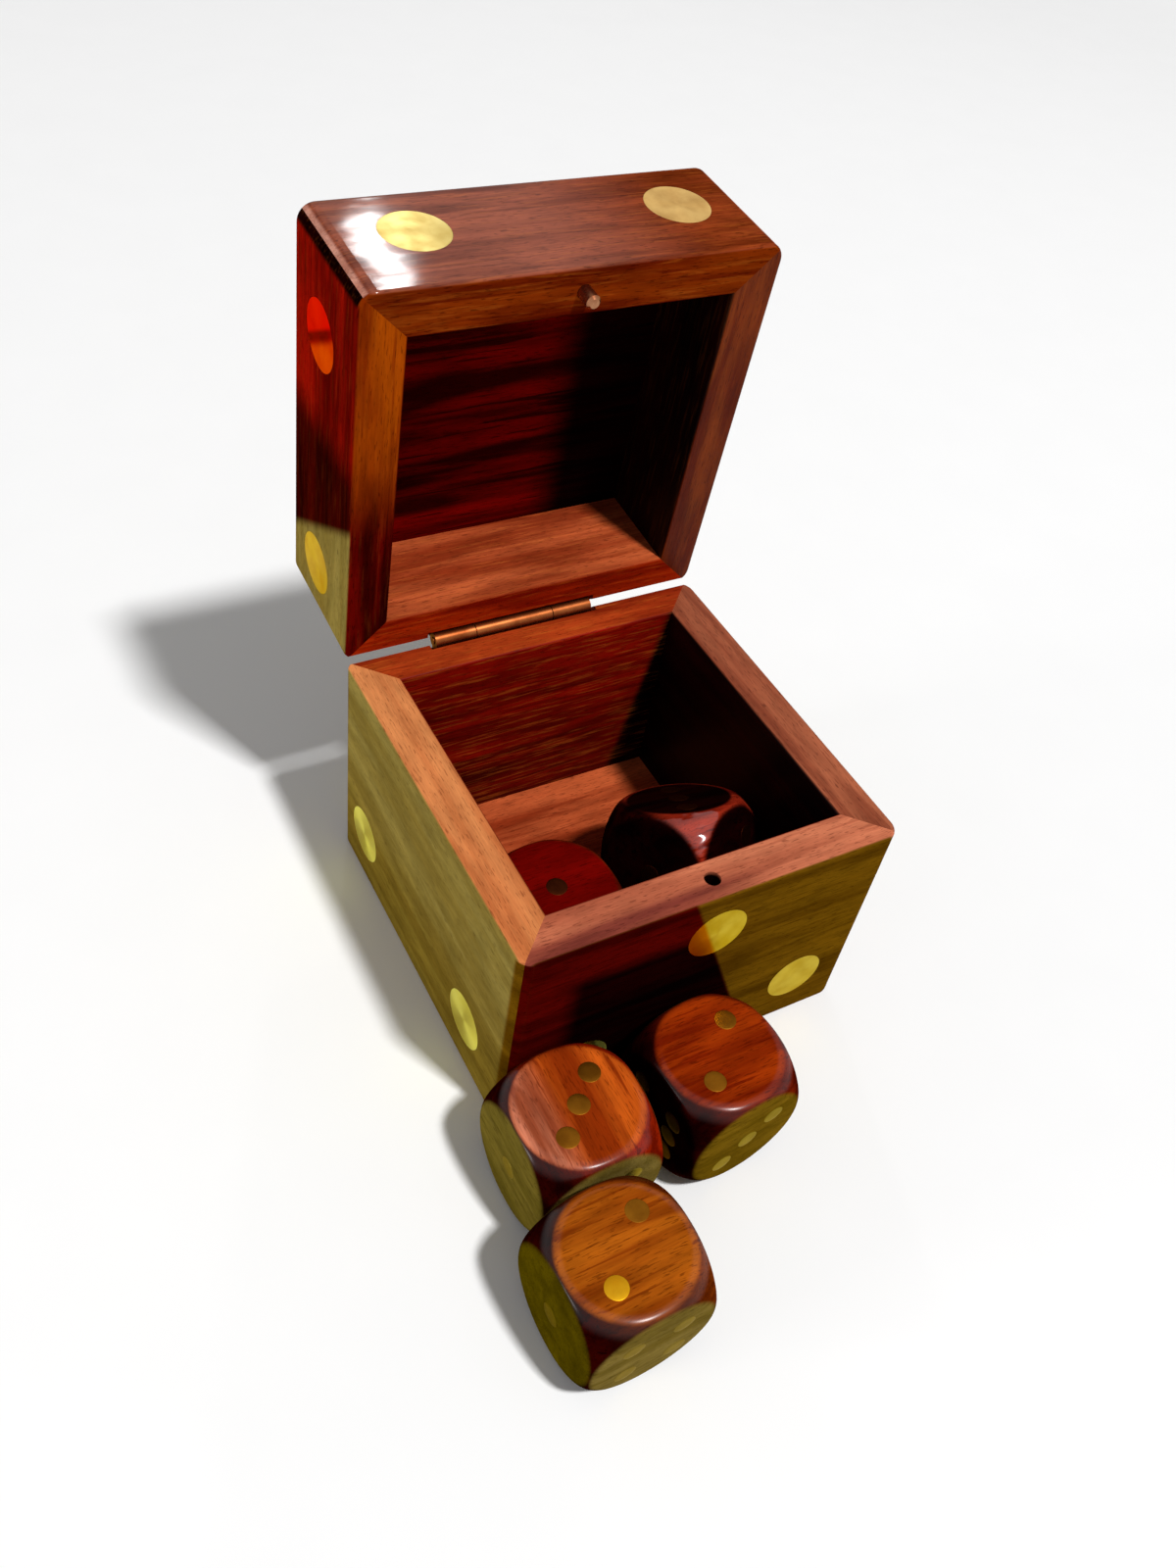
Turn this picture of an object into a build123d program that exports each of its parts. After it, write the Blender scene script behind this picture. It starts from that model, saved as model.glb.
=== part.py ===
"""Dice box with a hinged lid, shaped like one large die, with its five wooden dice.

Eight mitred walls, a floor and a top panel make the two halves, which a small brass
hinge joins at the back. Brass discs inlaid in every face are the pips of the large die.
Millimetres. Origin at the centre of the underside, +X right, +Y back, +Z up.
"""

import math
import os

from build123d import *

os.makedirs("parts", exist_ok=True)

# The closed box, a cube
box = 60.0  # edge of the cube
base_h = 38.4  # height of the lower half
rim_gap = 0.3  # air between the two rims when the lid is shut
wall = 6.6  # thickness of the mitred walls
floor_t = 5.0  # floor board
top_t = 5.6  # top board of the lid
rabbet = 3.0  # how far the boards sit into the walls
corner_r = 2.5  # rounding of the four upright corners
soft = 0.45  # rounding of the rims and of the bottom edge
top_soft = 1.2  # rounding of the lid's top edge
back_bevel = 1.0  # bevel along both back rims, which lets the lid swing past the wood
seat = 0.03  # play of everything that is glued or nailed in place
overshoot = 1.0  # how far a cutting solid runs past the wood

# The lid as it stands open
open_deg = 85.5

# The hinge, let into the back and nailed there
hinge_l = 26.8
hinge_shift = -2.25  # the hinge sits a little left of the middle
barrel_r = 1.25
hinge_pin_r = 0.55
pin_play = 0.05
leaf_t = 0.6
leaf_h = 7.5
knuckle_gap = 0.15
notch_play = 0.9  # room at both ends of the barrel's notch in the rims
notch_depth = 0.4  # room around the barrel in its notch
brad_r = 0.5
brad_l = 4.5  # how deep a nail goes into the wood
brad_head_r = 0.95
brad_head_h = 0.4
brad_head_bevel = 0.25
brad_spread = 8.4  # from the middle of the hinge to each brad

# The peg in the lid's front rim and its hole in the base
peg_r = 1.0
peg_out = 2.8
peg_in = 6.0
peg_play = 0.2
peg_hole_spare = 1.0
peg_tip_bevel = 0.35

# The pips of the box
pip_r = 4.65
pip_t = 1.5
pip_side = 11.1  # from the upright edges of the box to the middle of a pip
pip_end = 9.5  # from the top or the underside of the box to the middle of a pip
pip_margin = 2.0  # least wood between a pip and a rim
pip_shift = {"front": 0.8, "right": 0.0, "back": 0.0, "left": -1.7}  # drift of a face's pips

# The dice: cubes turned down to a ball, so every face is a flat circle
dice_room = 8.8  # what two dice side by side leave free across the box
ball_share = 0.684  # radius of that ball for a die of one millimetre
die_pip_r = 1.6
die_pip_sides = 8  # the die's small pips are plain eight-sided pins
die_pip_t = 1.2
die_pip_grid = 3.6  # from the middle of a face to its outer pips

# Where the dice lie: die 1 to 3 in front of the box, die 4 and 5 in it
front_gap = 0.7  # from the front wall to the nearest die
die_gap = 0.3  # from die 2 to die 1
pair_gap = 1.9  # from die 2 to die 3
pair_x = -3.0  # die 3 from the middle of the box
stagger = 3.8  # die 1 lies this much to the left of die 2
die_yaw = (1.5, 1.0, 5.0)
inner_yaw = 4.0  # turn of die 4, which lies flat
inner_gap = 0.15  # from the side walls to die 4 and die 5
flat_inset = 13.1  # from the front wall's inside to the middle of die 4
lean_inset = 15.2  # the same for die 5, which leans on the right wall
lean_x = (-0.882, -0.353, 0.314)  # direction of the one of die 5
lean_z = (0.084, 0.537, 0.84)  # direction of its three

# Worked out from the sizes above
half = box / 2
lid_h = box - base_h - rim_gap
cavity = box - 2 * wall
board = cavity + 2 * rabbet
pip_x = half - pip_side
pip_z = half - pip_end
hinge_y = half - leaf_t / 2
hinge_z = base_h + rim_gap / 2
die = (cavity - dice_room) / 2
ball_r = die * ball_share
face_r = math.sqrt(ball_r**2 - (die / 2) ** 2)

# The frame of each half: Z is up through the closed box, from the half's lower plane
swing = math.radians(open_deg)
base_frame = Plane.XY
lid_frame = Plane(
    origin=(
        0,
        hinge_y - hinge_y * math.cos(swing) + rim_gap / 2 * math.sin(swing),
        hinge_z + hinge_y * math.sin(swing) + rim_gap / 2 * math.cos(swing),
    ),
    x_dir=(1, 0, 0),
    z_dir=(0, math.sin(swing), math.cos(swing)),
)

# Outward direction and rightward direction of each upright face
SIDES = {
    "front": ((0, -1, 0), (1, 0, 0)),
    "right": ((1, 0, 0), (0, 1, 0)),
    "back": ((0, 1, 0), (-1, 0, 0)),
    "left": ((-1, 0, 0), (0, -1, 0)),
}

# Pips of a face, as (column, row) of a three by three grid
MIDDLE = ((0, 0),)
FALLING = ((-1, 1), (1, -1))
RISING = ((-1, -1), (1, 1))
SIX_SIDES = ((0, 1), (0, -1))
SPOTS = {
    "one": MIDDLE,
    "two": FALLING,
    "three": MIDDLE + FALLING,
    "four": FALLING + RISING,
    "five": MIDDLE + FALLING + RISING,
    "six": FALLING + RISING + SIX_SIDES,
}
FACE_PIPS = {"front": "five", "right": "three", "back": "two", "left": "four"}


def save(part, name):
    """Label a finished piece and write its file."""
    part.label = name
    export_step(part, f"parts/{name}.step")


def direction(frame, vector):
    """A direction of a half's frame in the frame of the whole box."""
    x, y, z = vector
    return frame.x_dir * x + frame.y_dir * y + frame.z_dir * z


def side_plane(frame, side, height):
    """The outer face of a side, X to the right and Y up, centred at a height."""
    outward, rightward = SIDES[side]
    middle = [half * part for part in outward[:2]] + [height]
    return Plane(
        origin=frame.from_local_coords(tuple(middle)),
        x_dir=direction(frame, rightward),
        z_dir=direction(frame, outward),
    )


def section_plane(frame):
    """The plane across the box, X to the back and Y up."""
    return Plane(origin=frame.origin, x_dir=frame.y_dir, z_dir=frame.x_dir)


def box_spots(side, lid):
    """Pips of a side that lie on the base or on the lid, as offsets from its plane."""
    middle = min(half, base_h - pip_margin - pip_r)
    found = []
    for column, row in SPOTS[FACE_PIPS[side]]:
        if (row > 0) == lid:
            height = half + row * pip_z if row else middle
            across = column * pip_x + pip_shift[side]
            found.append((across, height - (base_h + rim_gap if lid else 0)))
    return found


def outer_block(frame, height, rim_up):
    """The outside of one half as a solid block, its edges softened."""
    upward = Axis(frame.origin, frame.z_dir)
    with BuildSketch(frame) as outline:
        RectangleRounded(box, box, corner_r)
    extrude(outline.sketch, amount=height)
    rim = faces().sort_by(upward)[-1 if rim_up else 0]
    fillet(rim.outer_wire().edges(), soft)
    outside = faces().sort_by(upward)[0 if rim_up else -1]
    fillet(outside.outer_wire().edges(), soft if rim_up else top_soft)


def cut_hollow(frame, height, rim_up, board_t):
    """The room inside a half, and the rabbet its board is glued into."""
    upward = Axis(frame.origin, frame.z_dir)
    with BuildSketch(frame) as room:
        Rectangle(cavity, cavity)
    extrude(room.sketch, amount=height, mode=Mode.SUBTRACT)
    rim = faces().sort_by(upward)[-1 if rim_up else 0]
    fillet(rim.inner_wires()[0].edges(), soft)
    with BuildSketch(frame.offset(0 if rim_up else height - board_t - seat)) as bed:
        Rectangle(board, board)
    extrude(bed.sketch, amount=board_t + seat, mode=Mode.SUBTRACT)


def cut_back_rim(frame, rim_z, into):
    """The bevel along the back rim, and the deeper notch behind the barrel."""
    depth = into * back_bevel
    with BuildSketch(section_plane(frame)) as bevel:
        with BuildLine():
            Polyline(
                (half - back_bevel, rim_z),
                (half - back_bevel, rim_z - into * overshoot),
                (half + overshoot, rim_z - into * overshoot),
                (half + overshoot, rim_z + depth),
                (half, rim_z + depth),
                close=True,
            )
        make_face()
    extrude(bevel.sketch, amount=box, both=True, mode=Mode.SUBTRACT)
    with BuildSketch(section_plane(frame).offset(hinge_shift)) as notch:
        with Locations((hinge_y, rim_z - into * rim_gap / 2)):
            Circle(barrel_r + notch_depth)
    extrude(notch.sketch, amount=hinge_l / 2 + notch_play, both=True, mode=Mode.SUBTRACT)


def cut_leaf_bed(frame, rim_z, into):
    """The shallow bed that lets a hinge leaf in flush with the back."""
    deep = leaf_t + seat
    tall = leaf_h - rim_gap / 2 + seat
    with BuildSketch(section_plane(frame).offset(hinge_shift)) as bed:
        with Locations((half + (overshoot - deep) / 2, rim_z + into * tall / 2)):
            Rectangle(deep + overshoot, tall)
    extrude(bed.sketch, amount=hinge_l / 2 + seat, both=True, mode=Mode.SUBTRACT)


def keep_wedge(frame, side, height):
    """Keep one wall of the ring: the quarter of the square that its mitres bound."""
    _, rightward = SIDES[side]
    below = frame.origin - frame.z_dir * overshoot
    with BuildSketch(Plane(below, direction(frame, rightward), frame.z_dir)) as quarter:
        with BuildLine():
            Polyline((0, 0), (box, -box), (-box, -box), close=True)
        make_face()
    extrude(quarter.sketch, amount=height + 2 * overshoot, mode=Mode.INTERSECT)


def cut_pip_seats(plane, places):
    """Blind round seats for the pips of a face."""
    with BuildSketch(plane) as seats:
        with Locations(*places):
            Circle(pip_r + seat)
    extrude(seats.sketch, amount=-(pip_t + seat), mode=Mode.SUBTRACT)


def save_pips(plane, places, name):
    """The brass discs of a face, one piece each, flush with the wood."""
    for number, place in enumerate(places, 1):
        with BuildPart() as pip:
            with BuildSketch(plane):
                with Locations(place):
                    Circle(pip_r)
            extrude(amount=-pip_t)
        save(pip.part, f"{name}_{number}" if len(places) > 1 else name)


def cut_brad_holes(frame, height):
    """Holes of a leaf's two nails in a back wall."""
    with BuildSketch(side_plane(frame, "back", height)) as holes:
        with Locations((-hinge_shift - brad_spread, 0), (brad_spread - hinge_shift, 0)):
            Circle(brad_r + seat)
    extrude(holes.sketch, amount=-(leaf_t + brad_l + seat), mode=Mode.SUBTRACT)


# The walls of both halves, with the pips let into them
nail_drop = barrel_r + (leaf_h - barrel_r) / 2  # from the hinge's axis to its nails
for half_name, frame, height, rim_up, board_t in (
    ("base", base_frame, base_h, True, floor_t),
    ("lid", lid_frame, lid_h, False, top_t),
):
    rim_z, into = (base_h, -1) if rim_up else (0, 1)
    for side in SIDES:
        seats = box_spots(side, lid=not rim_up)
        plane = side_plane(frame, side, 0)
        with BuildPart() as side_wall:
            outer_block(frame, height, rim_up)
            cut_hollow(frame, height, rim_up, board_t)
            cut_back_rim(frame, rim_z, into)
            keep_wedge(frame, side, height)
            cut_pip_seats(plane, seats)
            if side == "back":
                cut_leaf_bed(frame, rim_z, into)
                cut_brad_holes(frame, rim_z + into * (nail_drop - rim_gap / 2))
            if side == "front":
                hole_r = peg_r + (peg_play if rim_up else seat)
                hole_depth = peg_out + peg_hole_spare if rim_up else peg_in + seat
                with BuildSketch(frame.offset(rim_z)):
                    with Locations((0, wall / 2 - half)):
                        Circle(hole_r)
                extrude(amount=into * hole_depth, mode=Mode.SUBTRACT)
        save(side_wall.part, f"{half_name}_{side}_wall")
        save_pips(plane, seats, f"{half_name}_{side}_pip")

# The floor board with the one of the large die, and the top board with its six
floor_face = Plane(origin=(0, 0, 0), x_dir=(1, 0, 0), z_dir=(0, 0, -1))
with BuildPart() as floor_board:
    with BuildSketch(base_frame):
        Rectangle(board - 2 * seat, board - 2 * seat)
    extrude(amount=floor_t)
    cut_pip_seats(floor_face, [(0, 0)])
save(floor_board.part, "base_floor")
save_pips(floor_face, [(0, 0)], "base_bottom_pip")

top_face = lid_frame.offset(lid_h)
six = [(column * pip_x, row * pip_x) for column, row in SPOTS["six"]]
with BuildPart() as top_board:
    with BuildSketch(top_face):
        Rectangle(board - 2 * seat, board - 2 * seat)
    extrude(amount=-top_t)
    cut_pip_seats(top_face, six)
save(top_board.part, "lid_top_panel")
save_pips(top_face, six, "lid_top_pip")

# The brass peg that keeps the shut lid from sliding sideways
with BuildPart() as peg:
    with BuildSketch(lid_frame.offset(peg_in)):
        with Locations((0, wall / 2 - half)):
            Circle(peg_r)
    extrude(amount=-(peg_in + peg_out))
    chamfer(edges().sort_by(Axis(lid_frame.origin, lid_frame.z_dir))[0], peg_tip_bevel)
save(peg.part, "lid_peg")

# The hinge: section plane at its middle, X outwards to the back, Y up in the shut box
hinge_axis_y = {"base": (0, 1, 0), "lid": (0, math.cos(swing), -math.sin(swing))}
spans = {
    "base": [(-hinge_l / 2, -hinge_l / 4), (hinge_l / 4, hinge_l / 2)],
    "lid": [(knuckle_gap - hinge_l / 4, hinge_l / 4 - knuckle_gap)],
}
for half_name, into in (("base", -1), ("lid", 1)):
    section = Plane((hinge_shift, hinge_y, hinge_z), hinge_axis_y[half_name], (1, 0, 0))
    start = barrel_r + knuckle_gap
    face = Plane(section.origin, (-1, 0, 0), section.x_dir).offset(leaf_t / 2)
    nails = [(sign * brad_spread, into * nail_drop) for sign in (-1, 1)]
    with BuildPart() as leaf:
        with BuildSketch(section):
            with Locations((0, into * (start + leaf_h) / 2)):
                Rectangle(leaf_t, leaf_h - start)
        extrude(amount=hinge_l / 2, both=True)
        for low, high in spans[half_name]:
            with BuildSketch(section.offset(low)):
                Circle(barrel_r)
                with Locations((0, into * start / 2)):
                    Rectangle(leaf_t, start)
                Circle(hinge_pin_r + pin_play, mode=Mode.SUBTRACT)
            extrude(amount=high - low)
        with BuildSketch(face):
            with Locations(*nails):
                Circle(brad_r + seat)
        extrude(amount=-leaf_t, mode=Mode.SUBTRACT)
    save(leaf.part, f"hinge_{half_name}_leaf")
    for number, nail in enumerate(nails, 1):
        with BuildPart() as brad:
            with BuildSketch(face.offset(seat / 2)):
                with Locations(nail):
                    Circle(brad_head_r)
            extrude(amount=brad_head_h)
            chamfer(edges().sort_by(Axis(face.origin, face.z_dir))[-1], brad_head_bevel)
            with BuildSketch(face.offset(seat / 2)):
                with Locations(nail):
                    Circle(brad_r)
            extrude(amount=-(leaf_t + brad_l - seat))
        save(brad.part, f"hinge_{half_name}_brad_{number}")

with BuildPart() as hinge_pin:
    with BuildSketch(Plane((hinge_shift, hinge_y, hinge_z), (0, 1, 0), (1, 0, 0))):
        Circle(hinge_pin_r)
    extrude(amount=hinge_l / 2 + knuckle_gap, both=True)
save(hinge_pin.part, "hinge_pin")


def reach(cosine):
    """How far a die reaches in a direction, from the cosine to its nearest face."""
    return die / 2 * cosine + face_r * math.sqrt(1 - cosine**2)


def turned(x_dir, z_dir, yaw):
    """Directions of a die's first and third axis, turned about the upright axis."""
    return [Vector(*way).rotate(Axis.Z, yaw) for way in (x_dir, z_dir)]


# Pips, outward direction and row direction of a die's faces; opposite faces add to seven
DIE_FACES = (
    ("one", (1, 0, 0), (0, 1, 0)),
    ("two", (0, 1, 0), (0, 0, 1)),
    ("three", (0, 0, 1), (0, 1, 0)),
    ("four", (0, 0, -1), (0, 1, 0)),
    ("five", (0, -1, 0), (0, 0, 1)),
    ("six", (-1, 0, 0), (0, 1, 0)),
)


def die_face(pose, outward, row):
    """The plane of one flat circle of a die."""
    normal = direction(pose, outward)
    return Plane(pose.origin + normal * (die / 2), direction(pose, row), normal)


def flat_reach(yaw):
    """How far a die that lies flat, turned by an angle, reaches sideways."""
    return reach(math.cos(math.radians(yaw)))


# Middle, first axis and third axis of every die
room = cavity / 2
row = -half - front_gap
across = [flat_reach(yaw) for yaw in die_yaw]
pair_left = pair_x - across[2] - pair_gap - across[1]
near = (
    (pair_left - stagger, row - 2 * across[1] - die_gap - across[0], die / 2),
    (pair_left, row - across[1], die / 2),
    (pair_x, row - across[2], die / 2),
)
flat_spot = (inner_gap + flat_reach(inner_yaw) - room, flat_inset - room, floor_t + die / 2)
lean_height = floor_t + seat + reach(lean_z[2])
lean_spot = (room - reach(abs(lean_x[0])) - inner_gap, lean_inset - room, lean_height)
dice = (
    (near[0], *turned((-1, 0, 0), (0, 1, 0), die_yaw[0])),
    (near[1], *turned((-1, 0, 0), (0, 0, 1), die_yaw[1])),
    (near[2], *turned((1, 0, 0), (0, -1, 0), die_yaw[2])),
    (flat_spot, *turned((0, 0, 1), (1, 0, 0), inner_yaw)),
    (lean_spot, Vector(*lean_x), Vector(*lean_z)),
)
for number, (middle, first_axis, third_axis) in enumerate(dice, 1):
    pose = Plane(middle, first_axis, third_axis)
    circles = [(die_face(pose, outward, row), SPOTS[name]) for name, outward, row in DIE_FACES]
    with BuildPart() as body:
        with BuildSketch(pose.offset(-die / 2)):
            Rectangle(die, die)
        extrude(amount=die)
        with Locations(pose):
            Sphere(ball_r, mode=Mode.INTERSECT)
        for circle, places in circles:
            with BuildSketch(circle):
                with Locations(*[(die_pip_grid * x, die_pip_grid * y) for x, y in places]):
                    RegularPolygon(die_pip_r + seat, die_pip_sides)
            extrude(amount=-(die_pip_t + seat), mode=Mode.SUBTRACT)
    save(body.part, f"die_{number}")
    with BuildPart() as pips:
        for circle, places in circles:
            with BuildSketch(circle):
                with Locations(*[(die_pip_grid * x, die_pip_grid * y) for x, y in places]):
                    RegularPolygon(die_pip_r, die_pip_sides)
            extrude(amount=-die_pip_t)
    save(pips.part, f"die_{number}_pips")
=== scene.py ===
# %% [markdown]
# # A dice box with a hinged lid
#
# The real object is a small cube of dark red rosewood, made to look like one large die.
# Brass discs are its pips, a little brass hinge carries the lid, and five wooden dice
# belong to it: three lie in front of the box and two inside.
#
# The structure is already made: its walls, boards, discs and hinge come in as a fixed
# frame. This lesson gives every piece its finish, and makes anew the pieces whose curves
# the frame only roughs out: the ball-cut dice and their small round pips.

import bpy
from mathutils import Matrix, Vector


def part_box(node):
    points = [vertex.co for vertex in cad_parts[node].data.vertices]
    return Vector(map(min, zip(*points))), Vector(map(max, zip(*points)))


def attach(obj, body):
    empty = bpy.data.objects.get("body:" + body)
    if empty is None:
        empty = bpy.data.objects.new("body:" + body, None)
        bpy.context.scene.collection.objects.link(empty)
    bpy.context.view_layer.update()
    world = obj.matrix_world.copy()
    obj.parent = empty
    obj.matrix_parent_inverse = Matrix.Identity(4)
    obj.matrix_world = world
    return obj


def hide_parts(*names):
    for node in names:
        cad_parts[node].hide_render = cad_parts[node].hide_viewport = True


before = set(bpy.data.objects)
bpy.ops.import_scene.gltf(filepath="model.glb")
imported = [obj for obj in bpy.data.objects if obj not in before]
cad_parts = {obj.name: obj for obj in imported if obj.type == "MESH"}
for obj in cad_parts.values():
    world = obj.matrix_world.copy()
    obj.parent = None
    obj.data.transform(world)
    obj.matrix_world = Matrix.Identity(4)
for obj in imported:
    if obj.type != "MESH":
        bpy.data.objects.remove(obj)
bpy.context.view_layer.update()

# %% [markdown]
# ## Tools of the lesson
#
# Numpy computes the surfaces of the new pieces as whole arrays, bmesh joins their seams, and
# mathutils turns directions. Sizes are written in millimetres, as on a workshop drawing, and
# become metres where a mesh or a material is made.

# %% Tools of the lesson
import math

import bmesh
import bpy
import numpy as np
from mathutils import Matrix, Vector

MM = 0.001  # one millimetre in metres
print("a millimetre is", MM, "metres")

# %% [markdown]
# ## Sizes that the finishes need
#
# A finish follows the piece it lies on: the grain runs along a board, the varnish stops
# at the rim, a turned disc has its rings round its own middle. So the few sizes that
# place those finishes are repeated here. The lid stands open, and its boards are turned
# about the hinge, so directions of the shut box are turned the same way.

# %% Sizes and directions
box_edge = 60.0
half = box_edge / 2
base_height = 38.4
wall = 6.6
die_edge = 19.0
ball_radius = 0.684 * die_edge
hinge_line = 29.7, 38.55  # its distance behind the middle, and its height
swing = math.radians(85.5)

UP = Vector((0, 0, 1))
RIGHT = Vector((1, 0, 0))
BACK = Vector((0, 1, 0))
turn_lid = Matrix.Rotation(-swing, 3, "X")
LID_BACK = turn_lid @ BACK
LID_UP = turn_lid @ UP


def on_lid(way, *levels):
    """A direction and levels along it in the shut box, as they are on the open lid."""
    hinge = Vector((0, *hinge_line))
    moved = turn_lid @ Vector(way)
    shift = hinge.dot(moved) - hinge.dot(Vector(way))
    return (moved, *[level + shift for level in levels])


print("the lid's front-to-back direction", [round(v, 3) for v in LID_BACK])

# %% [markdown]
# ## Building materials from a few words
#
# A material is a small graph of nodes. Written out in full it takes many lines, so a
# helper adds one node, sets what is constant and wires what comes from another node.
# Every finish below is then read as a short list of steps.

# %% Node helpers
def plug(tree, socket, value):
    """Wires a socket to an output, or sets it to a constant."""
    if isinstance(value, bpy.types.NodeSocket):
        tree.links.new(value, socket)
    else:
        socket.default_value = value


def node(tree, kind, wires=(), **settings):
    """Adds one node; wires maps an input's name or number to a constant or an output."""
    made = tree.nodes.new("ShaderNode" + kind)
    for name, value in settings.items():
        setattr(made, name, value)
    for key, value in dict(wires).items():
        plug(tree, made.inputs[key], value)
    return made


def number(tree, operation, first, second=0.0):
    """One step of arithmetic on two numbers."""
    return node(tree, "Math", {0: first, 1: second}, operation=operation).outputs[0]


def times(tree, first, second):
    """The product of two numbers."""
    return number(tree, "MULTIPLY", first, second)


def along(tree, point, direction):
    """How far a point lies along a direction: their dot product, in metres."""
    step = node(tree, "VectorMath", {0: point, 1: tuple(direction)}, operation="DOT_PRODUCT")
    return step.outputs["Value"]


def fade(tree, value, start, end):
    """0 at start, 1 at end, and a smooth step between them."""
    made = node(tree, "MapRange", {"Value": value, "From Min": start, "From Max": end})
    made.interpolation_type = "SMOOTHSTEP"
    return made.outputs["Result"]


def blend(tree, share, first, second, mode="MIX"):
    """Mixes two colours by a share from 0 to 1."""
    made = node(tree, "Mix", data_type="RGBA", blend_type=mode)
    for key, value in {0: share, 6: first, 7: second}.items():
        plug(tree, made.inputs[key], value)
    return made.outputs[2]


def rgb(red, green, blue):
    """A colour as a paint chart gives it, 0 to 255, turned into the light it reflects."""
    chart = np.array([red, green, blue]) / 255
    light = np.where(chart <= 0.04045, chart / 12.92, ((chart + 0.055) / 1.055) ** 2.4)
    return (*light.tolist(), 1.0)


def start_material(name):
    """An empty node material with its shader; gives the material, its tree and the shader."""
    made = bpy.data.materials.new(name)
    made.use_nodes = True
    tree = made.node_tree
    tree.nodes.clear()
    shader = node(tree, "BsdfPrincipled")
    output = node(tree, "OutputMaterial")
    tree.links.new(shader.outputs[0], output.inputs[0])
    return made, tree, shader


def dress(piece_name, material):
    """Gives a piece of the frame its finish."""
    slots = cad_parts[piece_name].data.materials
    slots.clear()
    slots.append(material)


print("helpers ready")

# %% [markdown]
# ## Zones
#
# The same board does not look the same all over. Its outside is varnished, and the olive it
# shows there is a painted reflection of a green surround; its rim is sanded bare, and its
# inside is stained a deep red, with near-black painted shade in places. Painted masks could
# say where, but they would need an image for each board. Here a *zone* is a pair of tones
# that takes over beyond a plane, from a start to an end along a direction. Several planes in
# one zone are all needed, which cuts a patch out of a face.

# %% Zones
def share_of(tree, place, planes):
    """How much of a zone a place has: the product of its fades, each (direction, start, end)."""
    share = 1.0
    for direction, start, end in planes:
        step = fade(tree, along(tree, place, direction), start * MM, end * MM)
        share = step if isinstance(share, float) else times(tree, share, step)
    return share


print("zones ready")

# %% [markdown]
# ## Rosewood
#
# The wood is a solid texture: colour is a function of the place in the board, so a
# streak that leaves one face comes out on the next, as in a real board. Several noises do
# the work, each stretched along the grain: broad soft bands, thin dark lines, pale flecks
# where the fibres catch the light, the fibres themselves, and short dark pores. An image
# of wood would not turn the corner at an edge, and a wave texture repeats too evenly.
#
# Each noise has its own count of cells along and across the fibres, and each board has its
# own seed, so no two are alike.

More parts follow.
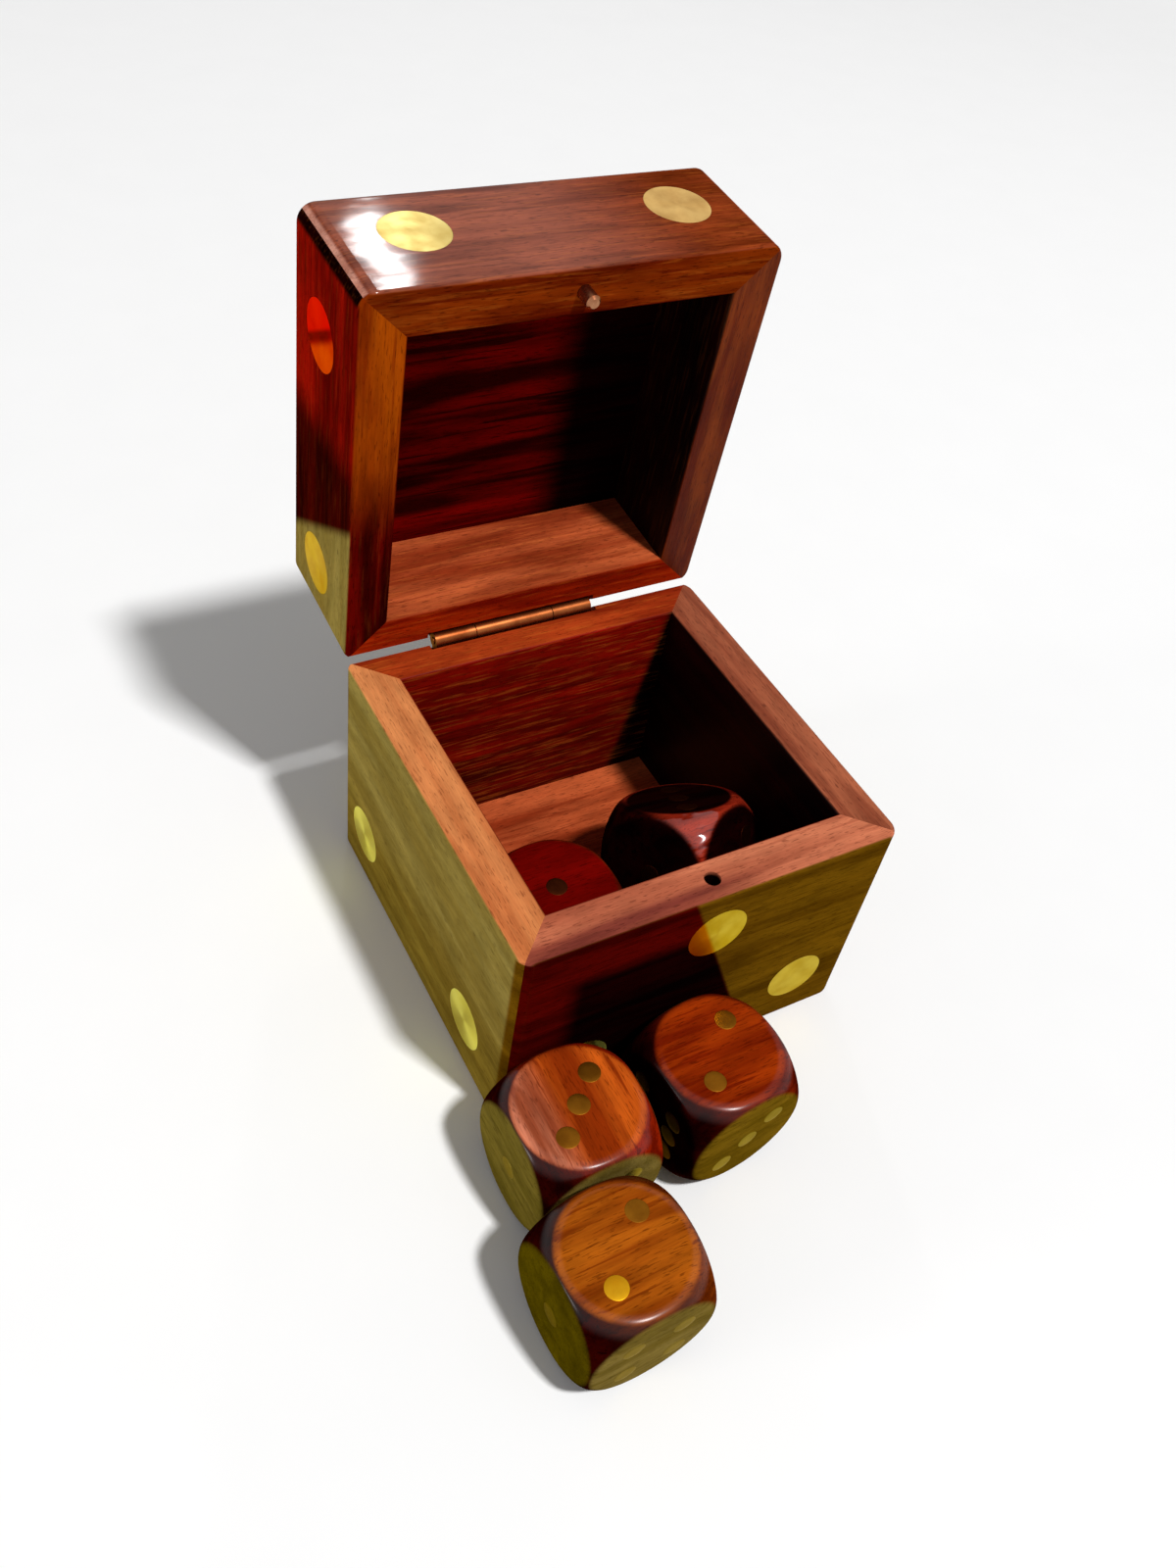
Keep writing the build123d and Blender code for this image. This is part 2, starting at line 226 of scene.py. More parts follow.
# %% Rosewood
def rosewood(name, grain, side, seed, tones, zones=(), lines=0.6, flecks=0.0, gloss=0.36,
             shine=0.0, coat=0.0, coat_gloss=0.08, coat_planes=(), coat_waves=(0.07, 0.16, 0.06)):
    """Wood whose fibres run along grain; a zone is (planes, (light tone, dark tone)).

    A coat lies only where coat_planes says; coat_waves is how many of its gentle waves fit in
    a millimetre along and across the fibres, and how deep they are.
    """
    made, tree, shader = start_material(name)
    place = node(tree, "TexCoord").outputs["Object"]
    third = Vector(grain).cross(Vector(side))

    def noise(lengthways, crossways, shift, detail=2.0, distortion=0.0):
        """Noise with that many cells per millimetre along and across the fibres."""
        parts = node(tree, "CombineXYZ", {
            0: times(tree, along(tree, place, grain), lengthways / MM),
            1: times(tree, along(tree, place, side), crossways / MM),
            2: times(tree, along(tree, place, third), crossways / MM),
        })
        own_wood = (seed * 3.7 + shift, seed * 1.9 + shift, seed * 5.3)
        moved = node(tree, "VectorMath", {0: parts.outputs[0], 1: own_wood}, operation="ADD")
        return node(tree, "TexNoise", {
            "Vector": moved.outputs[0], "Scale": 1.0, "Detail": detail, "Roughness": 0.55,
            "Distortion": distortion,
        }).outputs[0]

    bands = fade(tree, noise(0.022, 0.24, 0.0, 3.0, 0.5), 0.34, 0.64)
    thin = fade(tree, noise(0.06, 1.25, 7.0, 2.0, 0.4), 0.57, 0.67)
    pale_fibres = fade(tree, noise(0.15, 2.4, 41.0, 3.0), 0.50, 0.72)
    fibres = noise(0.25, 4.2, 13.0, 2.0)
    pores = fade(tree, noise(0.6, 5.5, 29.0, 1.0), 0.60, 0.68)
    mottle = noise(0.12, 0.35, 53.0, 4.0)

    light, dark = tones
    for planes, (zone_light, zone_dark) in zones:
        share = share_of(tree, place, planes)
        light = blend(tree, share, light, zone_light)
        dark = blend(tree, share, dark, zone_dark)
    colour = blend(tree, bands, dark, light)
    colour = blend(tree, times(tree, thin, lines), colour, dark)
    if flecks:
        glint = blend(tree, 0.4, light, golden)
        colour = blend(tree, times(tree, pale_fibres, flecks), colour, glint)
    grown = number(tree, "ADD", times(tree, fibres, 0.5), times(tree, mottle, 0.7))
    shade = node(tree, "MapRange", {
        "Value": grown, "From Min": 0.4, "From Max": 0.8, "To Min": 0.74, "To Max": 1.24,
    }).outputs["Result"]
    grey = node(tree, "CombineColor", {0: shade, 1: shade, 2: shade}).outputs[0]
    colour = blend(tree, 1.0, colour, grey, "MULTIPLY")
    pit = blend(tree, 1.0, dark, (0.35, 0.28, 0.28, 1.0), "MULTIPLY")
    colour = blend(tree, times(tree, pores, 0.55), colour, pit)

    tree.links.new(colour, shader.inputs["Base Color"])
    rough = node(tree, "MapRange", {
        "Value": fibres, "To Min": gloss - 0.05, "To Max": gloss + 0.08,
    })
    tree.links.new(rough.outputs["Result"], shader.inputs["Roughness"])
    relief = number(tree, "SUBTRACT", times(tree, fibres, 0.35), pores)
    bump = node(tree, "Bump", {"Height": relief, "Strength": 0.20, "Distance": 0.00005})
    tree.links.new(bump.outputs[0], shader.inputs["Normal"])
    shader.inputs["Specular IOR Level"].default_value = shine
    shader.inputs["Coat Weight"].default_value = coat
    shader.inputs["Coat Roughness"].default_value = coat_gloss
    if coat and coat_planes:
        share = share_of(tree, place, coat_planes)
        tree.links.new(times(tree, share, coat), shader.inputs["Coat Weight"])
        lengthways, crossways, depth = coat_waves
        swell = noise(lengthways, crossways, 61.0, 2.0)
        waves = node(tree, "Bump", {"Height": swell, "Strength": 1.0, "Distance": depth * MM})
        tree.links.new(waves.outputs[0], shader.inputs["Coat Normal"])
    return made


print("rosewood ready")

# %% [markdown]
# ## Tones of the wood
#
# Every board and every zone takes two tones from this list: one for its light bands and one
# for its dark bands. A colour ramp with many stops could do it too, but two named tones are
# easier to compare and to change. Most names are those of things of about that colour; some
# tones are painted reflection, painted shade or a painted highlight, as marked.

# %% Tones of the wood
golden = rgb(214, 120, 40)
honey = rgb(216, 136, 80), rgb(190, 104, 56)
salmon = rgb(204, 118, 84), rgb(166, 86, 60)
plum = rgb(150, 74, 54), rgb(122, 54, 44)
brick = rgb(196, 92, 50), rgb(140, 50, 22)
chestnut = rgb(172, 62, 22), rgb(128, 34, 10)
rosy = rgb(166, 92, 62), rgb(128, 60, 38)
cocoa = rgb(150, 76, 52), rgb(104, 44, 26)
mocha = rgb(136, 56, 24), rgb(96, 34, 9)
amber = rgb(164, 70, 4), rgb(126, 40, 2)
walnut = rgb(120, 50, 12), rgb(88, 24, 2)
russet = rgb(124, 44, 4), rgb(84, 14, 1)
wine = rgb(186, 48, 6), rgb(122, 16, 2)
stained = rgb(140, 14, 3), rgb(82, 4, 1)
deep = rgb(104, 6, 2), rgb(44, 2, 1)
# A dark painted reflection of dark things near the box.
dark_reflection = rgb(82, 5, 2), rgb(52, 2, 1)
# Umber: painted shade on the shaded dice, and a dark painted reflection on the lid's left face.
umber = rgb(62, 4, 1), rgb(32, 2, 1)
# Bronze, leaf_green, fern, sage and reed: painted reflections of a green surround on the box's
# left face and the dice's side circles; fern and sage, on the shaded left circles, hold painted
# shade too.
bronze = rgb(126, 104, 36), rgb(108, 86, 26)
leaf_green = rgb(122, 103, 48), rgb(104, 86, 32)
fern = rgb(82, 68, 2), rgb(66, 54, 1)
sage = rgb(112, 96, 36), rgb(94, 80, 24)
reed = rgb(116, 88, 16), rgb(98, 74, 8)
# Near black: painted shade.
shade_black = rgb(24, 1, 1), rgb(6, 1, 1)
# A painted highlight along the rounded corners of the lid's front.
edge_highlight = rgb(196, 140, 122), rgb(170, 110, 92)
# Olive and moss: painted reflections of a green surround on the outer faces.
olive = rgb(108, 74, 8), rgb(84, 54, 3)
moss = rgb(140, 122, 60), rgb(124, 104, 44)
print("tones of the wood ready")

# %% [markdown]
# ## The walls of the base
#
# Each wall is one mitred board with its grain running round the box. The first table
# names, for every side, which way is out and which way the grain runs; the others give the
# tones of its rim, its outer face and its inner face.
#
# The front board is dark red on its left and olive on its right, with a slanting border that
# crosses the middle pip. On the real object such patches are most likely the room mirrored
# in the varnish. Here they are painted reflections, tones of the material, which needs no room
# around the box, but they stay where they are when a lamp or the lid moves. The lowest,
# darkest part of the dark red is painted black as shade.

# %% Sides and their tones
SIDES = {
    "front": (-BACK, RIGHT),
    "back": (BACK, RIGHT),
    "left": (-RIGHT, BACK),
    "right": (RIGHT, BACK),
}
rim_tones = {"front": salmon, "back": chestnut, "left": honey, "right": rosy}
# The olive and moss of the outer faces are painted reflections of a green surround; the
# near-black inside the right wall is painted shade.
face_tones = {"front": olive, "back": olive, "left": moss, "right": olive}
inner_tones = {"front": stained, "back": stained, "left": stained, "right": shade_black}
print("sides", list(SIDES))

# %% [markdown]
# ## Where a tone starts and is full
#
# Varnish and stain go only skin deep, and so do the painted reflections and painted shade
# laid on them, so their zones begin in the last tenths of a millimetre under a face. Other
# borders cross a board: the slanting one between the dark and the olive painted reflections,
# the painted shade in the peg hole, the corner where two boards meet, and the painted shade
# low on the inner back. Each border is a direction with two levels along it, where the tone
# starts and where it is full.

# %% Borders of tones
# The slanting border of the dark painted reflection on the front, and its darkest part, painted
# black as shade.
reflection_border = (Vector((-0.919, 0, -0.393)), -11.6, -10.8)  # the slanting border on the front
dark_reflection_core = [(RIGHT, -23.5, -19.5), (-UP, -31.8, -28.5)]  # its darkest part, low down
front_edge = [(-BACK, 26.4, 28.2), (-RIGHT, -14.0, 6.0)]  # the outer part of the front rim
# The peg hole is painted black as shade.
peg_hole = [
    (RIGHT, -1.4, -1.3), (-RIGHT, -1.4, -1.3), (-BACK, 25.2, 25.3), (BACK, -28.1, -28.0),
    (-UP, -38.2, -37.6),
]
# Planes of painted shade on the inner back: darker towards the floor, and the right wall's shadow
# by the corner.
near_floor = (-UP, -20.0, -10.0)
inner_corner = (Vector((0.983, 0, -0.182)), 14.6, 16.4)
lower_left = (-UP, -26.0, -8.0)
board_end = 27.7, 28.4  # along a board: where the rounding of its upright corner starts
below_rim = (-UP, 0.3 - base_height, 0.6 - base_height)


def outer_skin(out):
    """Just under the outer face of a wall."""
    return (out, half - 0.35, half - 0.05)


def inner_skin(out):
    """Just under the inner face of a wall."""
    return (-out, wall - half - 0.4, wall - half - 0.05)


print("the skin of a wall starts", round(half - outer_skin(-BACK)[1], 2), "mm under its face")

# %% [markdown]
# ## Dressing the base
#
# One loop dresses the four boards, because they differ only in their directions, their
# tones and a few zones of their own. Later zones lie over earlier ones, so the face comes
# first and its patches after it. The near-black tone inside the right board and in the
# corner beside it is painted shade, deeper than the soft light alone makes it there, and the
# inner back is painted darker towards the floor as shade.

# %% Walls of the base
for number_of_side, (side, (out, run)) in enumerate(SIDES.items()):
    face, inner = outer_skin(out), inner_skin(out)
    zones = [([face], face_tones[side]), ([inner], inner_tones[side])]
    if side == "front":
        # On the front: the dark painted reflection, its core painted black as shade, and the peg
        # hole painted black as shade.
        zones.insert(0, (front_edge, plum))
        zones.append(([face, reflection_border], dark_reflection))
        zones.append(([face, reflection_border, *dark_reflection_core], shade_black))
        zones.append((peg_hole, shade_black))
    if side == "left":
        # The lower part of the left face takes another tone of its painted reflection.
        zones.append(([face, lower_left], bronze))
    if side == "back":
        # The inner back: painted shade towards the floor, and the right wall's painted shadow by
        # the corner.
        zones.append(([inner, near_floor], deep))
        zones.append(([inner, inner_corner], shade_black))
    # The rounded upright corners carry the painted olive reflection; the front-left one carries
    # the dark painted reflection.
    for way in (run, -run):
        at_front_left = side == "front" and way == -RIGHT
        zones.append(([(way, *board_end), below_rim], dark_reflection if at_front_left else olive))
    dress(f"base_{side}_wall", rosewood(
        f"rosewood_base_{side}", run, UP, 1.0 + number_of_side, rim_tones[side], zones,
        lines=0.3 if side == "left" else 0.6, flecks=0.6 if side == "back" else 0.0,
        shine=0.0 if side in ("front", "left") else 0.04,
    ))
print("base walls", list(SIDES))

# %% [markdown]
# ## The walls of the lid
#
# The lid is made like the base, so the same loop serves, with the directions turned as
# the lid is. Its front alone gets a clear coat, which shows the lamp behind it as a bright
# soft band. A coat on every side would mirror the white surround and turn the wood grey.

# %% Walls of the lid
# On the lid, the olive faces and corners are painted reflections of a green surround, the inside
# of the right wall and the corners of the left wall are painted shade, and the rounded corners of
# the front carry a painted highlight.
lid_rims = {"front": russet, "back": wine, "left": amber, "right": walnut}
lid_faces = {"front": cocoa, "back": olive, "left": stained, "right": olive}
lid_inner = {"front": deep, "back": brick, "left": deep, "right": shade_black}
lid_corners = {"front": edge_highlight, "back": olive, "left": shade_black, "right": olive}
above_rim = on_lid(UP, base_height + 0.6, base_height + 0.9)
# Across this border the moss tone of the lid's left face begins, a painted reflection.
reflection_way = Vector((0, 0.827, -0.561))  # across the slanting border of the moss tone on the left
for number_of_side, (side, (out, run)) in enumerate(SIDES.items()):
    face, inner = on_lid(*outer_skin(out)), on_lid(*inner_skin(out))
    zones = [([face], lid_faces[side]), ([inner], lid_inner[side])]
    end = (28.4, 28.9) if side == "front" else board_end
    for way in (run, -run):
        zones.append(([on_lid(way, *end), above_rim], lid_corners[side]))
    coat, coat_planes = 0.0, ()
    if side == "front":
        zones.append(([face, (RIGHT, -8.0, 20.0)], mocha))
        coat, coat_planes = 0.35, [face, (-RIGHT, -22.0, 4.0)]
    if side == "left":
        # The left board's rim is darker towards the hinge; on its face the umber band and the
        # moss beyond the slanting border are painted reflections.
        zones.insert(0, ([on_lid(BACK, -12.0, 8.0)], deep))
        zones.append(([face, on_lid(BACK, -8.0, 0.0)], umber))
        zones.append(([face, on_lid(reflection_way, -18.0, -16.0)], moss))
    dress(f"lid_{side}_wall", rosewood(
        f"rosewood_lid_{side}", turn_lid @ run, LID_UP, 11.0 + number_of_side,
        lid_rims[side], zones, flecks=0.35 if side in ("back", "front") else 0.1,
        shine=0.04 if side == "right" else 0.0, coat=coat, coat_planes=coat_planes,
    ))
print("lid walls", list(lid_rims))

# %% [markdown]
# ## The floor and the top board
#
# Both are boards with their grain from left to right. Only their inner faces show, and the
# top board also shows its outside from behind. The right part of the top board is painted
# black as the shadow of the lid's right wall, and its outside carries the painted olive
# reflection.

# %% Boards
dress("base_floor", rosewood("rosewood_floor", RIGHT, BACK, 21.0, brick, gloss=0.45))
top_zones = [
    # Painted shadow of the lid's right wall on the right of the panel, and the painted olive
    # reflection on its outside.
    ([(RIGHT, 5.0, 13.0)], shade_black),
    ([on_lid(UP, box_edge - 0.4, box_edge - 0.1)], olive),
]
dress("lid_top_panel", rosewood(
    "rosewood_top", RIGHT, LID_BACK, 27.0, (rgb(128, 4, 2), rgb(50, 2, 1)), top_zones, lines=0.9,
))
print("boards dressed")

# %% [markdown]
# ## Brass
#
# The large pips are discs cut from a turned rod and rubbed flush with the wood. The tool
# leaves fine rings, too fine to see one by one, which draw a lamp out into a bright line
# across the disc. Anisotropy does this: the shader is told which way the rings run, as
# the direction round the disc's own axis. A noise gives the hand-rubbed cloud in colour
# and gloss.

# %% Brass
TURNED = 0.6  # how strongly the rings draw a light out
RINGS_PER_MM = 3.2


def brass(name, tones, gloss, middle=None, axis=UP, zones=(), edge=(1, 0.8, 0.45)):
    """Metal with clouds of wear, and turned rings round an axis if it is given a middle."""
    made, tree, shader = start_material(name)
    place = node(tree, "TexCoord").outputs["Object"]
    clouds = node(tree, "TexNoise", {"Vector": place, "Scale": 330.0, "Detail": 5.0}).outputs[0]
    bright, rubbed = tones
    for planes, (zone_bright, zone_rubbed) in zones:
        share = share_of(tree, place, planes)
        bright = blend(tree, share, bright, zone_bright)
        rubbed = blend(tree, share, rubbed, zone_rubbed)
    colour = blend(tree, fade(tree, clouds, 0.3, 0.75), bright, rubbed)
    tree.links.new(colour, shader.inputs["Base Color"])
    rough = node(tree, "MapRange", {
        "Value": clouds, "To Min": gloss - 0.06, "To Max": gloss + 0.10,
    })
    tree.links.new(rough.outputs["Result"], shader.inputs["Roughness"])
    shader.inputs["Metallic"].default_value = 1.0
    shader.inputs["Specular Tint"].default_value = (*edge, 1.0)
    height = clouds
    if middle is not None:
        from_middle = node(tree, "VectorMath", {0: place, 1: tuple(middle)}, operation="SUBTRACT")
        round_axis = node(tree, "VectorMath", {
            0: tuple(axis), 1: from_middle.outputs[0],
        }, operation="CROSS_PRODUCT").outputs[0]
        tree.links.new(round_axis, shader.inputs["Tangent"])
        shader.inputs["Anisotropic"].default_value = TURNED
        radius = node(tree, "VectorMath", {0: round_axis}, operation="LENGTH").outputs["Value"]
        rings = number(tree, "SINE", times(tree, radius, 2 * math.pi * RINGS_PER_MM / MM))
        height = number(tree, "ADD", times(tree, rings, 0.5), times(tree, clouds, 3.0))
    bump = node(tree, "Bump", {"Height": height, "Strength": 0.05, "Distance": 0.00003})
    tree.links.new(bump.outputs[0], shader.inputs["Normal"])
    return made


print("brass ready")

# %% [markdown]
# ## Tones of the brass
#
# Polished metal has little colour of its own and takes on what stands near it, so the
# discs differ: pale on the lid's front, orange on its left side. Hinge and peg are the same
# metal, older and redder. A real mirror of the room would need the room; these tones stand
# in for it. The last line gives the colour that the metal takes when seen at a low angle.

# %% Tones of the brass
yellow = rgb(252, 248, 122), rgb(242, 236, 104)
lemon = rgb(194, 174, 68), rgb(176, 150, 46)
pale = rgb(186, 168, 104), rgb(166, 142, 74)
fair = rgb(214, 174, 104), rgb(182, 140, 76)
gilt = rgb(200, 168, 36), rgb(180, 138, 20)
orange = rgb(210, 92, 6), rgb(190, 70, 3)
tan = rgb(182, 104, 8), rgb(166, 88, 4)
flame = rgb(216, 44, 3), rgb(200, 30, 2)
copper = rgb(150, 84, 44), rgb(112, 54, 24)
rose = rgb(190, 140, 104), rgb(124, 70, 44)
dull = rgb(124, 78, 16), rgb(96, 56, 9)
gold = rgb(184, 138, 22), rgb(166, 114, 12)
green_brass = rgb(134, 118, 38), rgb(116, 100, 28)
mossy_brass = rgb(112, 97, 38), rgb(98, 84, 30)
fern_brass = rgb(80, 67, 8), rgb(68, 56, 4)
dark_brass = rgb(72, 30, 10), rgb(46, 13, 5)
warm, silvery, fiery = (1, 0.8, 0.45), (1, 0.92, 0.75), (0.9, 0.35, 0.05)
print("tones of the brass ready")

# %% [markdown]
# ## Discs, hinge and peg
#
# A disc's rings need its middle and the way it faces. Both come from the frame: the middle
# of the piece's own box, and the side that its name tells. A few discs have painted
# reflections of their own: one on the lid's left side has a dark painted reflection band
# across it, and the middle one on the base's front changes tone across the border of the
# wood's dark painted reflection.

# %% Brass pieces
def middle_of(piece_name):
    """The middle of a piece's box, in metres."""
    low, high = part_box(piece_name)
    return (low + high) / 2


# A dark painted reflection band across a disc on the lid's left side, with an orange one beside
# it.
reflection_band_on_disc = [
    ([on_lid(reflection_way, -43.6, -42.8)], deep),
    ([on_lid(reflection_way, -42.4, -41.0)], orange),
]
# The middle disc of the base's front takes the tan painted reflection beyond the border of the
# wood's dark painted reflection.
disc_looks = {
    "base_front_pip_1": (lemon, [([reflection_border], tan)], (1, 0.7, 0.3)),
    "base_front_pip_2": (lemon, [], warm),
    "lid_front_pip_1": (pale, [], silvery),
    "lid_front_pip_2": (fair, [], silvery),
    "lid_left_pip_1": (gilt, [], warm),
    "lid_left_pip_2": (flame, reflection_band_on_disc, fiery),
}
for name in sorted(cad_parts):
    if "_pip" in name and not name.startswith("die_"):
        half_name, side = name.split("_")[:2]
        axis = {"bottom": UP, "top": UP}.get(side) or SIDES[side][0]
        if half_name == "lid":
            axis = turn_lid @ axis
        tones, zones, edge = disc_looks.get(name, (yellow, [], warm))
        dress(name, brass(f"brass_{name}", tones, 0.30, middle_of(name), axis, zones, edge=edge))
for name in ("hinge_base_leaf", "hinge_lid_leaf", "hinge_pin"):
    dress(name, brass(f"brass_{name}", copper, 0.36))
dress("lid_peg", brass("brass_lid_peg", rose, 0.24))
for name in ("hinge_base_brad_1", "hinge_base_brad_2", "hinge_lid_brad_1", "hinge_lid_brad_2"):
    dress(name, brass(f"brass_{name}", copper, 0.40, middle_of(name), BACK))
print("brass pieces dressed")

# %% [markdown]
# ## The dice
#
# A die of this kind is a cube turned down to a ball, so every face ends in a circle. As
# a formula, the surface lies in each direction at the smallest of four distances: to the
# ball and to the three pairs of faces. A true minimum has knife edges, and the real die
# is polished, so a soft minimum is used: add the distances raised to a high negative
# power, and take the root again. Where one distance is clearly the smallest the result
# is that distance, and where two meet the edge is rounded by a tenth of a millimetre.
#
# The directions come from six square grids, the sides of a cube blown up to a ball,
# which has no poles.

# %% The surface of a die
SHARP = 32.0  # the power of the soft minimum: higher is sharper
GRID = 84  # cells along one side of each grid


def die_points():
    """Points and quads of a die round the origin: r = (sum of distance^-SHARP)^(-1/SHARP)."""
    line = np.tan(np.linspace(-math.pi / 4, math.pi / 4, GRID + 1))
    first, second = np.meshgrid(line, line, indexing="ij")
    ones = np.ones_like(first)
    grids = []
    for axis in range(3):
        for sign in (1, -1):
            columns = [None] * 3
            columns[axis] = ones * sign
            columns[(axis + 1) % 3] = first * sign
            columns[(axis + 2) % 3] = second
            grids.append(np.stack(columns, -1).reshape(-1, 3))
    ways = np.concatenate(grids)
    ways /= np.linalg.norm(ways, axis=1, keepdims=True)
    flat = die_edge / 2 - 0.03
    to_ball = np.full((len(ways), 1), 1 / ball_radius)
    inverse = np.concatenate([to_ball, np.abs(ways) / flat], axis=1)
    radius = (inverse**SHARP).sum(axis=1) ** (-1 / SHARP)
    corner = np.arange((GRID + 1) ** 2).reshape(GRID + 1, GRID + 1)
    quads = np.stack([corner[:-1, :-1], corner[1:, :-1], corner[1:, 1:], corner[:-1, 1:]], -1)
    quads = quads.reshape(-1, 4)
    every = np.concatenate([quads + side * (GRID + 1) ** 2 for side in range(6)])
    return ways * radius[:, None], every


def finish_mesh(name, points, faces):
    """A mesh object from whole arrays; its doubles are merged and its normals point out."""
    mesh = bpy.data.meshes.new(name)
    mesh.from_pydata((points * MM).tolist(), [], faces.tolist())
    work = bmesh.new()
    work.from_mesh(mesh)
    bmesh.ops.remove_doubles(work, verts=work.verts, dist=1e-6)
    bmesh.ops.recalc_face_normals(work, faces=work.faces)
    work.to_mesh(mesh)
    work.free()
    mesh.polygons.foreach_set("use_smooth", np.ones(len(mesh.polygons), bool))
    made = bpy.data.objects.new(name, mesh)
    bpy.context.scene.collection.objects.link(made)
    return made


die_shape, die_quads = die_points()
print("a die reaches", round(float(np.abs(die_shape).max()), 3), "mm along its axes")

# %% [markdown]
# ## The pips of the dice
#
# Each small pip is a brass pin set flush in the wood. Its section is a short profile
# that is carried round the pin's axis: across the flat top, over a rounded edge, and
# down the side into the wood.

# %% A small pin
pin_radius = 1.6
pin_grid = 3.6


def pin_points(rounds=40):
    """A pin on the origin: the profile (radius, height) turned about the upright axis."""
    edge = np.linspace(0, math.pi / 2, 5)
    radius = np.concatenate([[0.02, 0.7], pin_radius - 0.10 + 0.10 * np.sin(edge), [pin_radius]])
    height = np.concatenate([[0.0, 0.0], -0.10 + 0.10 * np.cos(edge), [-1.0]])
    angle = np.linspace(0, 2 * math.pi, rounds, endpoint=False)
    points = np.stack([
        np.outer(radius, np.cos(angle)), np.outer(radius, np.sin(angle)),
        np.repeat(height[:, None], rounds, axis=1),
    ], -1).reshape(-1, 3)
    ring = np.arange(len(radius) * rounds).reshape(len(radius), rounds)
    after = np.roll(ring, -1, axis=1)
    quads = np.stack([ring[:-1], ring[1:], after[1:], after[:-1]], -1).reshape(-1, 4)
    return points, quads


pin_shape, pin_quads = pin_points()
MIDDLE, FALLING, RISING = [(0, 0)], [(-1, 1), (1, -1)], [(-1, -1), (1, 1)]
SPOTS = {
    1: MIDDLE, 2: FALLING, 3: MIDDLE + FALLING, 4: FALLING + RISING,
    5: MIDDLE + FALLING + RISING, 6: FALLING + RISING + [(0, 1), (0, -1)],
}
DIE_FACES = {
    1: ((1, 0, 0), (0, 1, 0)), 2: ((0, 1, 0), (0, 0, 1)), 3: ((0, 0, 1), (0, 1, 0)),
    4: ((0, 0, -1), (0, 1, 0)), 5: ((0, -1, 0), (0, 0, 1)), 6: ((-1, 0, 0), (0, 1, 0)),
}


def pins_of_a_die():
    """All 21 pins of a die round the origin, as one set of points and quads."""
    points, quads = [], []
    for count, (outward, row) in DIE_FACES.items():
        outward, row = np.array(outward, float), np.array(row, float)
        column = np.cross(outward, row)
        for across, up in SPOTS[count]:
            foot = outward * die_edge / 2 + (row * across + column * up) * pin_grid
            quads.append(pin_quads + sum(len(part) for part in points))
            points.append(foot + pin_shape @ np.stack([row, column, outward]))
    return np.concatenate(points), np.concatenate(quads)


all_pins, all_pin_quads = pins_of_a_die()
print("pins", len(all_pins) // len(pin_shape))

# %% [markdown]
# ## Laying the dice down
#
# A die's place is the middle of its own piece in the frame. Its turn is given by the
# directions of its one and its three; the second axis follows from the other two. The
# die in the corner of the box has tumbled and leans on the wall. Three turned angles would
# say the same, but two directions can be read off the die itself.

# %% How the dice lie
def turned(one, three, yaw):
    """The die's axes as rows, after a turn about the upright axis by yaw degrees."""
    spin = Matrix.Rotation(math.radians(yaw), 3, "Z")
    return spin @ Vector(one), spin @ Vector(three)


poses = {
    1: turned((-1, 0, 0), (0, 1, 0), 1.5),
    2: turned((-1, 0, 0), (0, 0, 1), 1.0),
    3: turned((1, 0, 0), (0, -1, 0), 5.0),
    4: turned((0, 0, 1), (1, 0, 0), 4.0),
    5: (Vector((-0.882, -0.353, 0.314)), Vector((0.084, 0.537, 0.84))),
}
print("dice", list(poses))

# %% [markdown]
# ## The finish of a die
#
# A die is one piece of wood, but each of its circles cuts the grain another way and faces
# another part of the room, so each has its own tone, as a zone just under its flat. On the
# side circles these tones are painted reflections of a green surround, darker on the left as
# painted shade; the ball is painted near black as shade and lighter to the upper right as
# painted light. A clear coat all over would mirror the white surround, as on the lid. So it
# is kept to the rims of the upper circles, where it draws the lamps as bright arcs. The
# tumbled die has it on the ball part instead, and its neighbour in the box has none.

# %% Looks of the dice
# The way of the grain; then the tones of the upper circle, of the ball's upper right, of the
# left circle and of the other circles
# The ball's upper-right tone is painted light. The side circles' tones are painted reflections of
# a green surround, the left ones darker with painted shade; the sides of die 4 and the whole of
# die 5 are painted shade.
die_looks = {
    1: (RIGHT, (rgb(176, 90, 16), rgb(124, 50, 5)), (rgb(114, 46, 4), rgb(76, 24, 1)),
        fern, leaf_green),
    2: (BACK, (rgb(204, 90, 22), rgb(134, 44, 6)), (rgb(142, 30, 3), rgb(96, 14, 1)),
        sage, leaf_green),
    3: (RIGHT, (rgb(156, 52, 6), rgb(110, 24, 2)), (rgb(112, 26, 3), rgb(72, 10, 1)),
        shade_black, reed),
    4: (RIGHT, (rgb(116, 5, 2), rgb(92, 3, 1)), (rgb(112, 32, 6), rgb(68, 9, 2)),
        umber, umber),
    5: (RIGHT, (rgb(24, 2, 1), rgb(8, 1, 1)), (rgb(30, 3, 1), rgb(14, 1, 1)),
        shade_black, shade_black),
}
# The ball part of a die is painted near black as shade, except where a zone lays another tone.
ball_shade_tones = rgb(46, 3, 1), rgb(20, 1, 1)
# A painted sheen on the left of the second die's upper circle.
sheen_tones = rgb(208, 124, 92), rgb(140, 66, 40)
# Painted light and sheen on the ball part of the tumbled die, whose other parts are painted near
# black as shade.
lit_sheen_tones = rgb(178, 52, 28), rgb(110, 18, 6)
# The pins of the left circle and of the other sides; those on top are dull
# Their tones are painted reflections matching their circles; the pins of die 5, the left pins of
# die 3 and the side pins of die 4 are painted shade.
pin_looks = {
    1: (fern_brass, mossy_brass), 2: (mossy_brass, green_brass), 3: (umber, green_brass),
    4: (dark_brass, dark_brass), 5: (dark_brass, dark_brass),
}
